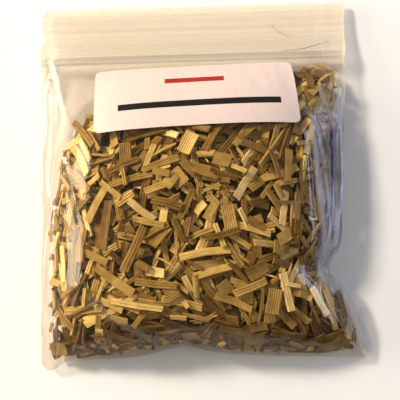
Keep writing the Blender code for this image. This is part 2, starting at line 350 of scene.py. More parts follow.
def makeSky():
    world = bpy.data.worlds.new("sky")
    bpy.context.scene.world = world
    world.use_nodes = True
    tree = world.node_tree
    place = addNode(tree, "ShaderNodeTexCoord")
    facing = addNode(tree, "ShaderNodeVectorMath", {0: place.outputs["Generated"], 1: studio["skyFrom"]},
                     operation="DOT_PRODUCT")
    strength = addNode(tree, "ShaderNodeMapRange",
                       {"Value": facing.outputs["Value"], "From Min": -1.0,
                        "To Min": studio["skyLeast"], "To Max": studio["skyMost"]})
    sky = tree.nodes["Background"]
    sky.inputs["Color"].default_value = (*studio["sky"], 1)
    tree.links.new(strength.outputs[0], sky.inputs["Strength"])


def makeStudio():
    size = studio["floorSize"] / 2
    points = [(-size, -size, 0), (size, -size, 0), (size, size, 0), (-size, size, 0)]
    material, tree, out = newMaterial("pale_floor")
    addSkin(tree, out, {"Base Color": (*studio["floorColour"], 1), "Roughness": 0.7})
    floor = meshObject("floor", points, [(0, 1, 2, 3)], material, smooth=False)
    makeSky()
    for lamp in studio["lamps"]:
        light = bpy.data.lights.new(lamp["name"], "AREA")
        light.shape = "RECTANGLE"
        light.size, light.size_y = lamp["size"]
        light.color = lamp["colour"]
        light.energy = lamp["power"]
        made = bpy.data.objects.new(lamp["name"], light)
        made.location = lamp["at"]
        made.visible_glossy = lamp["glare"]
        made.rotation_euler = (Vector(lamp["at"]) - Vector(lamp["aim"])).to_track_quat("Z", "Y").to_euler()
        bpy.context.scene.collection.objects.link(made)
    bpy.context.scene.view_settings.view_transform = "Standard"


# Label: white paper on the film, with a short red rule over a long black one
label = {
    "size": (68.0, 27.4),
    "centre": (-0.2, 25.2),
    "turn": 2.0,             # degrees, anticlockwise
    "corner": 2.2,
    "lean": (0.985, 0.92),   # how much the slope of the bag shortens it, seen from above
    "thickness": 0.11,
    "lift": 0.16,
    "redRule": (0.0, 6.0, 20.0, 2.2),       # middle across and up, length, height
    "blackRule": (1.2, -4.6, 54.0, 2.6),
}


# Film: how it wrinkles over what it holds, all in millimetres
film = {
    "sideColumns": (15.0, 0.30),      # reach from each seal, and spacing
    "middleColumns": 1.5,
    "foldRows": 26,                   # from the bottom fold up to foldReach
    "foldReach": -42.0,
    "bellyRows": 1.25,
    "zipRows": (2.6, 0.24),
    "lipRows": 0.5,
    "thickness": 0.06,
    "gap": 0.12,                      # half the least distance of the two walls
    "drapeSize": 5.0,
    "drapeHeight": 0.16,
    "finFoldWidth": 3.6,
    "finFoldHeight": 0.55,
    "finFoldReach": 12.0,
    "dipShare": 0.5,
    "puckerWidth": 5.5,
    "puckerHeight": 0.55,
    "mouthHeight": 0.35,
    "lipLines": [50.2, 52.2, 55.1, 58.4],
    "lipLineHeight": 0.07,
    "lipLineWidth": 0.55,
    "zipRibs": [-0.9, 0.9],
    "zipRibHeight": 0.11,
    "zipRibWidth": 0.50,
    "seed": 4,
}
creases = {      # points along each crease, half width, height of its ridge; a dip lies to its right
    "bottomTuck": ([(-33.8, -41.5), (-28.7, -46.1), (-21.5, -50.3), (-12.1, -54.3), (-4.9, -56.1)], 0.8, 0.8),
    "leftFlap": ([(-49.5, 42), (-47.2, 34.6), (-44.1, 21.0), (-41.0, 14.6)], 0.9, 0.9),
    "leftSlope": ([(-44.8, 12), (-42.1, -1.6), (-39.5, -8.4), (-37.6, -17.0)], 0.9, 0.5),
    "leftSeam": ([(-47.6, -8), (-48.9, -27.9), (-49.5, -42)], 0.7, 0.8),
    "leftEar": ([(-51.2, -46), (-49.5, -54.7), (-50.1, -61)], 0.6, 0.7),
    "leftEarInner": ([(-46.7, -48), (-45.7, -54.8), (-47.3, -60.2)], 0.6, 0.6),
    "rightMain": ([(37.6, 16), (38.5, 4), (38.7, -6.9), (39.6, -20.7), (37.6, -31), (39.2, -37)], 1.0, 0.7),
    "rightSeam": ([(49.0, 30), (48.0, 12), (47.4, -4), (45.6, -16.7), (43.8, -26.7), (40.4, -33)], 0.8, 0.8),
    "rightInner": ([(39.9, 8), (41.3, -3.9), (42.1, -12.0), (41.6, -20.5), (39.2, -28.6)], 0.8, 0.7),
    "rightMiddle": ([(46.0, 19), (45.2, 7.1), (44.6, -2), (43.6, -14), (41.2, -26)], 0.8, 0.7),
    "rightTop": ([(34.5, 21.2), (36.7, 18.4), (39.2, 14.1), (40.3, 8.0)], 0.7, 0.8),
    "rightPinch": ([(39.1, 18.2), (42.4, 16.7), (46.5, 18.0)], 0.6, 0.7),
    "rightShoulder": ([(42.0, 27), (44.1, 20.5), (45.2, 12)], 0.7, 0.7),
    "rightFoot": ([(46.5, -42), (50.0, -50), (52.0, -58)], 0.7, 0.7),
}


def creaseAt(x, y, points, halfWidth):
    nearest = np.full(np.shape(x), 1e9)
    signed = np.full(np.shape(x), 1e9)
    for (ax, ay), (bx, by) in zip(points, points[1:]):
        dx, dy = bx - ax, by - ay
        t = np.clip(((x - ax) * dx + (y - ay) * dy) / (dx * dx + dy * dy), 0, 1)
        away = np.hypot(x - ax - t * dx, y - ay - t * dy)
        turn = np.where(dx * (y - ay) - dy * (x - ax) > 0, 1, -1)
        signed = np.where(away < nearest, away * turn, signed)
        nearest = np.minimum(nearest, away)
    return np.exp(-(signed / halfWidth) ** 2), np.exp(-((signed + 1.9 * halfWidth) / halfWidth) ** 2)


def wrinkleAt(x, y, side):
    seed = film["seed"] + (0 if side > 0 else 40)
    full = fullnessAt(x, y)
    below = smoothStep(bagShape["zipY"] - 2.5, bagShape["zipY"] - 7, y)
    size = film["drapeSize"]
    bendX = x + 3.0 * noiseAt(x / 7 + 30, y / 7, seed + 10)
    bendY = y + 3.0 * noiseAt(x / 7, y / 7 + 30, seed + 11)
    broad = noiseAt(bendX / size + 9, bendY / size + 5, seed)
    small = noiseAt(bendY / size * 2.3, bendX / size * 2.3, seed + 1)
    lift = film["drapeHeight"] * (broad * 0.65 + small * 0.35) * smoothStep(0.15, 0.6, full)
    beside = np.minimum(x - leftSealAt(y), rightSealAt(y) - x)
    sway = noiseAt(x * 0 + 4, y / 24, seed + 2) * 1.6 + noiseAt(x / 12, y / 14, seed + 9) * 0.7
    fold = crestsAt(beside / film["finFoldWidth"] + sway, y / 34 + 3, seed + 3)
    fine = crestsAt(beside / film["finFoldWidth"] * 2.3 + sway * 1.5, y / 15 + 7, seed + 4)
    reach = film["finFoldReach"]
    edge = smoothStep(0.0, 1.5, beside) * (1 - smoothStep(reach * 0.5, reach, beside))
    lift = lift + film["finFoldHeight"] * (fold * 0.65 + fine * 0.35) * edge * below
    pucker = crestsAt(x / film["puckerWidth"] + noiseAt(x / 14, y / 9, seed + 5), y / 30, seed + 6)
    shoulder = smoothStep(12, 30, y) * below
    lift = lift + film["puckerHeight"] * pucker * shoulder * smoothStep(0.9, 0.3, full)
    mouth = smoothStep(bagShape["zipY"] + 3, bagShape["lipY"], y)
    lift = lift + film["mouthHeight"] * noiseAt(x / 17, y / 23, seed + 7) * mouth
    if side > 0:
        ridges, dips = 0, 0
        for points, halfWidth, height in creases.values():
            ridge, dip = creaseAt(x, y, points, halfWidth)
            ridges = np.maximum(ridges, height * ridge)
            dips = np.maximum(dips, height * dip)
        lift = lift + ridges - film["dipShare"] * dips
        lift = lift * (1 - 0.85 * underLabel(x, y))
    return lift


def underLabel(x, y):
    u, v = labelPlace(x, y)
    across = smoothStep(label["size"][0] / 2 + 3, label["size"][0] / 2 - 1, np.abs(u))
    return across * smoothStep(label["size"][1] / 2 + 3, label["size"][1] / 2 - 1, np.abs(v))


def labelPlace(x, y):
    # from the bag's own x and y to the label's, middle at zero
    turn = math.radians(label["turn"])
    u = (x - label["centre"][0]) / label["lean"][0]
    v = (y - label["centre"][1]) / label["lean"][1]
    return u * math.cos(turn) + v * math.sin(turn), v * math.cos(turn) - u * math.sin(turn)


def zipLineAt(y):
    past = y - bagShape["zipY"]
    ribs = sum(np.exp(-((past - place) / film["zipRibWidth"]) ** 2) for place in film["zipRibs"])
    return film["zipRibHeight"] * ribs


def lipLineAt(y):
    lines = sum(np.exp(-((y - place) / film["lipLineWidth"]) ** 2) for place in film["lipLines"])
    return film["lipLineHeight"] * lines


def filmFront(x, y):
    return frontAt(x, y) + wrinkleAt(x, y, 1) + zipLineAt(y) + lipLineAt(y)


def filmBack(x, y):
    lowest = backAt(x, y) - wrinkleAt(x, y, -1) * 0.6 - zipLineAt(y) - lipLineAt(y)
    return np.maximum(lowest, 0.02)


def filmPlaces():
    f = film
    reach, close = f["sideColumns"]
    side = np.arange(0, reach, close)
    middle = np.arange(reach, 2 * bagShape["halfWidth"] - reach, f["middleColumns"])
    across = np.concatenate([side, middle, (2 * bagShape["halfWidth"] - side)[::-1]])
    across = across / bagShape["halfWidth"] - 1
    zipReach, zipStep = f["zipRows"]
    zipLow, zipHigh = bagShape["zipY"] - zipReach, bagShape["zipY"] + zipReach
    belly = np.arange(f["foldReach"], zipLow, f["bellyRows"])
    lip = np.arange(zipHigh, bagShape["lipY"] - 0.3, f["lipRows"])
    upper = np.concatenate([belly, np.arange(zipLow, zipHigh, zipStep), lip, [bagShape["lipY"]]])
    fold = curveAt(bagShape["bottomFold"], across)
    share = np.linspace(0, 1, f["foldRows"], endpoint=False)[:, None] ** 1.3
    y = np.concatenate([fold + (f["foldReach"] - fold) * share, upper[:, None] * np.ones(len(across))])
    left = leftSealAt(y) + 0.25 * noiseAt(y / 6, y * 0 + 2, 21)
    right = rightSealAt(y) + 0.3 * noiseAt(y / 5, y * 0 + 4, 22)
    return left + (right - left) * (across + 1) / 2, y


haze = {      # how milky the film looks, from 0 to 1
    "overHeap": 0.003,
    "leftSide": 0.05,
    "rightSide": 0.05,
    "seals": 0.16,
    "fold": 0.10,
    "emptyTop": 0.15,
    "lip": 0.12,
    "zipLines": 0.05,
    "lipLines": 0.07,
    "crease": 0.10,
    "paintedShadeCrease": 0.42,
    "flap": 0.15,             # the pale flap below the left end of the zip
    "flapEdge": [(8, -46.5), (14.6, -42.2), (21, -44.1), (34.6, -47.2), (41, -48.8)],
    # where the painted grey shade of the right side's slack film begins, and how much milk carries it
    "paintedShadeEdge": [(-62, 55), (-50, 48.5), (-41.4, 44.6), (-38, 38.3), (-31, 36.8), (-20.7, 38.7), (-6.9, 37.5),
                 (9.9, 37.2), (18, 38.5), (26, 42)],
    "paintedShadeMilk": [(-62, 0.17), (-48, 0.32), (-36, 0.50), (-22, 0.48), (-8, 0.42), (4, 0.36), (16, 0.25),
             (26, 0.05)],
    "paintedDarkReflection": (43.6, 4.6, 2.9, 8.4),      # middle and half size of a painted dark reflection on the fold, high on the right
    "paintedDarkReflectionMilk": 0.22,
}


def hazeAt(x, y, side):
    h = haze
    fromLeft = x - leftSealAt(y)
    fromRight = rightSealAt(y) - x
    fromFold = y - bottomFoldAt(x)
    cloud = 0.75 + 0.5 * noiseAt(x / 6, y / 9, 51)
    milk = h["overHeap"] + h["leftSide"] * (1 - smoothStep(1, 8, fromLeft)) * cloud
    milk = milk + h["rightSide"] * (1 - smoothStep(1, 6, fromRight))
    milk = milk + h["seals"] * (1 - smoothStep(0.3, 1.3, np.minimum(fromLeft, fromRight)))
    milk = milk + h["fold"] * (1 - smoothStep(0.05, 0.3, fromFold))
    milk = milk + h["emptyTop"] * smoothStep(-1, 5, pastHeapAt(x, y))
    streaks = 1 + 0.25 * noiseAt(x / 60, y / 0.9, 52)
    milk = milk + h["lip"] * smoothStep(bagShape["zipY"] - 5, bagShape["zipY"] - 2.5, y) * streaks
    milk = milk + h["zipLines"] * np.clip(zipLineAt(y) / film["zipRibHeight"], 0, 1)
    milk = milk + h["lipLines"] * np.clip(lipLineAt(y) / film["lipLineHeight"], 0, 1)
    if side > 0:
        flap = h["flap"] * smoothStep(0.5, -0.5, x - curveAt(h["flapEdge"], y))
        milk = milk + flap * smoothStep(8, 15, y) * (1 - smoothStep(40, 41.5, y)) * cloud
        # milk that carries the painted shade and the painted dark reflection on the right
        milk = milk + paintedShadeMilkAt(x, y) + h["paintedDarkReflectionMilk"] * paintedDarkReflectionAt(x, y)
        # the right creases get more milk, which carries their painted shade and reflection
        for name, (points, halfWidth, height) in creases.items():
            ridge = creaseAt(x, y, points, halfWidth)[0]
            milk = milk + h["paintedShadeCrease" if name.startswith("right") else "crease"] * height * ridge
    return np.clip(milk, 0, 0.92)


def paintedShadeMilkAt(x, y):
    # the slack film down the right side, lying in creases on itself and streaky: milk that carries its
    # painted grey shade and bluish reflection
    past = smoothStep(-0.6, 0.8, x - curveAt(haze["paintedShadeEdge"], y))
    sway = noiseAt(x * 0 + 4, y / 20, 61) * 1.6 + noiseAt(x / 9, y / 12, 63) * 0.6
    streak = smoothStep(-0.5, 0.9, crestsAt(x / 2.6 + sway, y / 21 + 3, 62))
    return curveAt(haze["paintedShadeMilk"], y) * past * (0.45 + 0.70 * streak)


def paintedShadeAt(x, y):
    # painted shade and reflection on the milky film: half is painted grey shade, one is the painted dark
    # reflection
    past = smoothStep(-1.2, 0.4, x - curveAt(haze["paintedShadeEdge"], y)) * (1 - smoothStep(14, 28, y))
    gaps = smoothStep(0.2, -0.6, crestsAt(x / 2.1 + 0.8 * noiseAt(x / 9, y / 12, 64), y / 25, 65))
    folded = past * (0.48 + 0.30 * gaps)
    for name, (points, halfWidth, height) in creases.items():
        if name.startswith("right"):
            # the right creases get painted grey shade too
            folded = np.maximum(folded, 0.45 * creaseAt(x, y, points, halfWidth * 1.4)[0])
    return folded + 0.5 * paintedDarkReflectionAt(x, y)


def paintedDarkReflectionAt(x, y):
    # a painted dark reflection, high on the right fold
    midX, midY, halfX, halfY = haze["paintedDarkReflection"]
    bend = 0.25 * noiseAt(x / 3, y / 4, 66)
    across = smoothStep(1.3, 0.7, np.abs(x - midX) / halfX + bend)
    return across * smoothStep(1.25, 0.75, np.abs(y - midY) / halfY + bend)


def makeFilm(material):
    x, y = filmPlaces()
    rows, columns = x.shape
    front, back = filmFront(x, y), filmBack(x, y)
    middle = (front + back) / 2
    front = np.maximum(front, middle + film["gap"])
    back = np.minimum(back, middle - film["gap"])
    points = np.concatenate([pointsOf(x, y, front), pointsOf(x, y, back)])
    count = rows * columns
    faces = gridFaces(rows, columns) + gridFaces(rows, columns, count, turned=True)
    for column in range(columns - 1):      # bottom fold
        faces.append((column + 1, column, count + column, count + column + 1))
    for row in range(rows - 1):            # side seals
        a, b = row * columns, (row + 1) * columns
        faces.append((a, b, count + b, count + a))
        a, b = a + columns - 1, b + columns - 1
        faces.append((b, a, count + a, count + b))
    made = meshObject("film_walls", points, faces, material)
    # the second attribute holds the painted shade of the right side
    for name, values in (("haze", (hazeAt(x, y, 1), hazeAt(x, y, -1))), ("folded", (paintedShadeAt(x, y), 0 * x))):
        attribute = made.data.attributes.new(name, "FLOAT", "POINT")
        attribute.data.foreach_set("value", np.concatenate([v.ravel() for v in values]).astype(np.float32))
    wall = made.modifiers.new("wall", "SOLIDIFY")
    wall.thickness = film["thickness"] * mm
    wall.offset = -1
    finished(made)
    return made


filmLook = {
    "tint": (0.975, 0.955, 0.923),
    # milk colour, then painted grey shade, then painted dark reflection
    "milkAndPaintedShade": [(0.0, (0.96, 0.90, 0.80)), (0.5, (0.37, 0.395, 0.485)), (1.0, (0.045, 0.07, 0.16))],
    "mostShine": 0.048,
    "roughness": 0.10,
    "rippleSize": 0.008,
    "rippleStrength": 0.10,
}


def filmMaterial():
    material, tree, out = newMaterial("clear_film")
    place = addNode(tree, "ShaderNodeTexCoord")
    milk = addNode(tree, "ShaderNodeAttribute", attribute_name="haze")
    ripple = noiseNode(tree, place.outputs["Object"], 1 / filmLook["rippleSize"], 2.0)
    bump = bumpNode(tree, ripple, filmLook["rippleStrength"], 0.0004)
    fresnel = addNode(tree, "ShaderNodeFresnel", {"IOR": 1.45, "Normal": bump})
    shine = mathNode(tree, "MINIMUM", fresnel.outputs[0], filmLook["mostShine"])
    sides = addNode(tree, "ShaderNodeNewGeometry")
    outer = mathNode(tree, "SUBTRACT", 1.0, sides.outputs["Backfacing"])
    both = mathNode(tree, "ADD", milk.outputs["Fac"], shine, clamp=True)
    opacity = mathNode(tree, "MULTIPLY", both, outer)
    glassy = mathNode(tree, "DIVIDE", shine, both, clamp=True)      # the rest of it is milky
    clear = addNode(tree, "ShaderNodeBsdfTransparent", {"Color": (*filmLook["tint"], 1)})
    # the painted shade and reflection of the right side, as a colour
    folded = addNode(tree, "ShaderNodeAttribute", attribute_name="folded")
    colour = colourRamp(tree, folded.outputs["Fac"], filmLook["milkAndPaintedShade"])
    skin = addNode(tree, "ShaderNodeBsdfPrincipled", {
        "Base Color": colour, "Roughness": filmLook["roughness"], "Metallic": glassy, "Normal": bump})
    mix = addNode(tree, "ShaderNodeMixShader", {0: opacity, 1: clear.outputs[0], 2: skin.outputs[0]})
    tree.links.new(mix.outputs[0], out.inputs["Surface"])
    return material


# Zip: the moulded rib and rails between the two walls
zipTrack = {"ribWidth": 0.7, "clearance": 0.32, "room": 1.2, "inset": 1.2, "bevel": 0.14}


def milkyMaterial():
    material, tree, out = newMaterial("milky_zip")
    place = addNode(tree, "ShaderNodeTexCoord")
    cloud = noiseNode(tree, place.outputs["Object"], 90.0, 2.0)
    colour = colourRamp(tree, cloud, [(0.3, (0.92, 0.82, 0.66)), (0.7, (0.97, 0.90, 0.76))])
    addSkin(tree, out, {"Base Color": colour, "Roughness": 0.4, "Alpha": 0.07})
    return material


def makeZipTrack(material):
    z = zipTrack
    middle = float(curveAt(bagShape["sealHeight"], bagShape["zipY"]))
    strips = [(0.0, middle - z["room"] / 2 + z["clearance"], middle + z["room"] / 2)]
    for side in (-1, 1):
        strips.append((side * (z["ribWidth"] + z["clearance"]), middle - z["room"] / 2,
                       middle + z["room"] / 2 - z["clearance"]))
    pieces = []
    for name, (offset, low, high) in zip(("zip_rib", "zip_rail_lower", "zip_rail_upper"), strips):
        y = bagShape["zipY"] + offset
        left = float(leftSealAt(y)) + z["inset"]
        right = float(rightSealAt(y)) - z["inset"]
        half = z["ribWidth"] / 2
        count = 24
        points = []
        for x in np.linspace(left, right, count):
            for dy, dz in ((-half, low), (half, low), (half * 0.8, high), (-half * 0.8, high)):
                points.append((x * mm, (y + dy) * mm, dz * mm))
        faces = [(0, 1, 2, 3), tuple(range(4 * count - 1, 4 * count - 5, -1))]
        for k in range(count - 1):
            for e in range(4):
                a, b = 4 * k + e, 4 * k + (e + 1) % 4
                faces.append((a, a + 4, b + 4, b))
        made = meshObject(name, points, faces, material)
        tidyNormals(made)
        soften = made.modifiers.new("edges", "BEVEL")
        soften.width = z["bevel"] * mm
        soften.segments = 2
        finished(made)
        pieces.append(made)
    return pieces


# Cut lemongrass: kinds of bit in millimetres, laid one by one against the film from inside
bitKinds = {
    "stalk_strips": {"shapes": 20, "length": (5.0, 16.0), "width": (1.4, 2.9), "thick": (0.45, 0.9),
                     "share": 0.64, "seed": 3},
    "leaf_chips": {"shapes": 7, "length": (4.2, 8.8), "width": (3.4, 6.4), "thick": (0.28, 0.45),
                   "share": 0.06, "seed": 8},
    "thin_slivers": {"shapes": 9, "length": (4.5, 15.0), "width": (0.6, 1.2), "thick": (0.35, 0.6),
                     "share": 0.38, "seed": 5},
    "rolled_stalks": {"shapes": 5, "length": (4.5, 9.0), "width": (1.9, 3.0), "thick": (0.3, 0.4),
                      "share": 0.03, "seed": 6},
    "stalk_ends": {"shapes": 6, "length": (1.5, 3.2), "width": (1.2, 2.4), "thick": (0.7, 1.3),
                   "share": 0.06, "seed": 7},
}
heap = {
    "frontBits": 8500,
    "backBits": 4200,
    "places": 4,             # spots looked at for each bit, of which the emptiest is taken
    "turns": 4,              # ways it is turned there, of which the one nearest the film is kept
    "clearance": 0.12,
    "drift": 20.0,           # size of the patches in which the bits lie roughly one way
    "driftTurn": 0.65,       # and how far they stray from it, in radians
    "smallKinds": ["thin_slivers", "stalk_ends"],
    "earlyShare": 0.18,      # over this part of the laying the small kinds are rarer
    "earlySmall": 0.4,
    "edgeReach": 6.0,        # this near to the fold and the seals the bits lie along them
    "edgeTurn": 0.35,
    "crumbReach": 4.5,       # and this near to the fold only bits up to crumbLength lie
    "crumbLength": 7.5,
    "tiring": 0.7,           # how much a spot that can't take a bit is put off, in mm of filling
    "hollow": 0.5,           # how far the film stands off the heap in its hollows
    "hollowSize": 5.5,
    "deepest": 6.0,
    "settle": 0.8,           # share of a bit's underside that has to be clear of the bits it rests on
    "steepestTilt": 0.6,
    "cell": 0.3,
    "low": (-56.0, -62.0),
    "high": (56.0, 44.0),
    "top": [(-52, 29), (-25, 32), (0, 34), (25, 36), (40, 38.5), (52, 39)],
    "leftEdge": [(-30, -54), (-10.7, -50.1), (-0.6, -47.8), (9.6, -45.6), (18.1, -41.2), (24.9, -32.7),
                 (31, -22)],
    "sealRoom": 1.2,         # no bit lies nearer to a seal, or to the fold, than these
    "foldRoom": 0.3,
    "wallShare": {1: 0.56, -1: 0.44},      # share of the thickness filled from the front and from the back
    "footShift": 0.36,       # how much of it goes over to the front at the foot
    "leastDepth": 0.7,
    "spotChance": 0.35,      # of taking a level spot; a steep one is likelier, by its larger area
    "grow": (0.88, 1.14),
    "flipShare": 0.35,       # share of the bits laid upside down
    "toneSpread": (1.15, 1.45),
    "paintedShadeTop": -45.0,        # below this the bits are darker: painted shade at the foot
    "paintedShadeDepth": 0.68,
    "seed": 11,
}


def heapTopAt(x):
    return curveAt(heap["top"], x) - 1.5 * noiseAt(x / 6 + 3, x * 0 + 1, 31)


def pastHeapAt(x, y):
    # how far a spot is past the top or the sloping left edge of the heap
    ragged = 1.2 * noiseAt(y / 4 + 3, y * 0 + 7, 33)
    return np.maximum(y - heapTopAt(x), curveAt(heap["leftEdge"], y) + ragged - x)


def loftBit(name, sections, uvs):
    # joins equal rings into one closed bit, whose length runs along X
    size = len(sections[0])
    points = [tuple(np.array(p) * mm) for ring in sections for p in ring]
    faces = []
    for k in range(len(sections) - 1):
        for e in range(size):
            a, b = k * size + e, k * size + (e + 1) % size
            faces.append((a, b, b + size, a + size))
    faces.append(tuple(range(size))[::-1])
    last = (len(sections) - 1) * size
    faces.append(tuple(range(last, last + size)))
    made = meshObject(name, points, faces, smooth=False)
    tidyNormals(made)
    setUv(made.data, "fibre", uvs)
    return made


def makeStrip(name, length, width, thick, draw):
    # a split piece of stalk: ridges with grooves between them, cut nearly square
    grooves = 1 if width < 2.3 else 2
    across, height = [-0.5], [0.22]
    for k in range(grooves + 1):
        left = -0.5 + k / (grooves + 1)
        right = left + 1 / (grooves + 1)
        across += [left + 0.07, right - 0.07]
        height += [0.5, 0.42]
        if k < grooves:
            across.append(right)
            height.append(draw.uniform(0.02, 0.2))
    across.append(0.5)
    height.append(0.22)
    arch = draw.uniform(-0.10, 0.16) * width
    bow = draw.uniform(-0.03, 0.05) * length
    sway = draw.uniform(-0.035, 0.035) * length * (length > 7)
    slant = draw.uniform(-0.22, 0.22, 2)
    narrow = draw.uniform(0.82, 1.0)
    sections, uvs = [], []
    for t in (-0.5, 0.0, 0.5):
        ring = []
        bend = 1 - 4 * t * t
        wide = width * (1 - (1 - narrow) * (t + 0.5))
        for w, top in list(zip(across, height)) + [(0.5, -0.5), (0.0, -0.5), (-0.5, -0.5)]:
            x = t * length + slant[int(t > 0)] * w * wide * abs(t) * 2
            z = bow * bend + arch * (0.25 - w * w) * 2 + thick * top
            ring.append((x, w * wide + sway * bend, z))
            uvs.append((w * wide / 10 + (0.3 if top < 0 else 0), t * length / 10))
        sections.append(ring)
    return loftBit(name, sections, uvs)


def makeChip(name, length, width, thick, draw):
    # a square of leaf: close parallel veins, a little curl, one torn side
    veins = 6
    across = np.linspace(-0.5, 0.5, 2 * veins + 1)
    curl = draw.uniform(-0.16, 0.2) * width
    slant = draw.uniform(-0.25, 0.25)
    sections, uvs = [], []
    for t in (-0.5, 0.0, 0.5):
        ring = []
        for index, w in enumerate(across):
            x = t * length + slant * w * width + draw.uniform(-0.12, 0.12) * abs(t) * 2
            z = curl * (w * w * 2 - 0.25) + thick * (0.5 if index % 2 else 0.12)
            ring.append((x, w * width, z))
            uvs.append((w * width / 10, t * length / 10))
        for w in (0.5, 0.25, 0.0, -0.25, -0.5):
            ring.append((t * length + slant * w * width, w * width, curl * (w * w * 2 - 0.25) - thick * 0.5))
            uvs.append((w * width / 10 + 0.3, t * length / 10))
        sections.append(ring)
    return loftBit(name, sections, uvs)


def makeSliver(name, length, width, thick, draw):
    sections, uvs = [], []
    bow = draw.uniform(-0.04, 0.04) * length
    sway = draw.uniform(-0.06, 0.06) * length
    for t, share in ((-0.5, 0.55), (-0.15, 1.0), (0.2, 0.95), (0.5, 0.35)):
        ring = []
        for turn in (math.pi / 4, math.pi * 3 / 4, math.pi * 5 / 4, math.pi * 7 / 4):
            y = math.cos(turn) * width * 0.7 * share + sway * (1 - 4 * t * t)
            z = math.sin(turn) * thick * 0.7 * share + bow * (1 - 4 * t * t)
            ring.append((t * length, y, z))
            uvs.append((math.cos(turn) * width / 10, t * length / 10))
        sections.append(ring)
    return loftBit(name, sections, uvs)


def makeEnd(name, length, width, thick, draw):
    # a stub of solid stalk with rough cut faces
    sections, uvs = [], []
    lean = draw.uniform(-0.15, 0.15, 2)
    for t in (-0.5, 0.5):
        ring = []
        for k in range(7):
            turn = 2 * math.pi * (k + 0.5) / 7
            corner = 1 + 0.16 * math.cos(4 * turn) + draw.uniform(-0.07, 0.07)
            y = math.cos(turn) * width / 2 * corner
            z = math.sin(turn) * thick / 2 * corner
            ring.append((t * length + lean[int(t > 0)] * y, y, z))
            uvs.append((math.cos(turn) * width / 10, t * length / 10))
        sections.append(ring)
    return loftBit(name, sections, uvs)


def makeRoll(name, length, width, thick, draw):
    # a length of hollow stalk: outer and inner rings joined at both cut ends
    sides = 10
    radius = width / 2
    squash = draw.uniform(0.55, 0.8)
    points, uvs = [], []
    stations = [(-0.5, 1), (0.0, 1), (0.5, 1), (0.5, 0), (0.0, 0), (-0.5, 0)]
    for t, outer in stations:
        r = radius if outer else radius - thick
        for k in range(sides):
            turn = 2 * math.pi * k / sides
            slant = 0.3 * radius * math.cos(turn) * (1 if t > 0 else -1) * (t != 0)
            points.append((t * length + slant, math.cos(turn) * r, math.sin(turn) * r * squash))
            uvs.append((k / sides * width * 0.3, t * length / 10))
    faces = []
    rings = len(stations)
    for s in range(rings):
        for k in range(sides):
            a = s * sides + k
            b = s * sides + (k + 1) % sides
            c = ((s + 1) % rings) * sides
            faces.append((a, b, c + (k + 1) % sides, c + k))
    made = meshObject(name, [tuple(np.array(p) * mm) for p in points], faces, smooth=True)
    tidyNormals(made)
    made.data.set_sharp_from_angle(angle=math.radians(40))
    setUv(made.data, "fibre", uvs)
    return made


bitMakers = {"stalk_strips": makeStrip, "leaf_chips": makeChip, "thin_slivers": makeSliver,
             "rolled_stalks": makeRoll, "stalk_ends": makeEnd}


def makeShapes(kind):
    # the few shapes that every bit of this kind is a copy of, and their sizes
    rules = bitKinds[kind]
    draw = np.random.default_rng(rules["seed"])
    group = bpy.data.collections.new(kind + "_shapes")
    bpy.context.scene.collection.children.link(group)
    sizes = []
    for index in range(rules["shapes"]):
        share = (index + 0.5) / rules["shapes"]
        length = rules["length"][0] + (rules["length"][1] - rules["length"][0]) * share ** 1.3
        width = draw.uniform(*rules["width"])
        thick = draw.uniform(*rules["thick"])
        made = bitMakers[kind]("%s_%02d" % (kind, index), length, width, thick, draw)
        bpy.context.scene.collection.objects.unlink(made)
        group.objects.link(made)
        points = np.array([v.co for v in made.data.vertices]) / mm
        sizes.append(np.abs(points).max(axis=0) * 2)
    return group, sizes


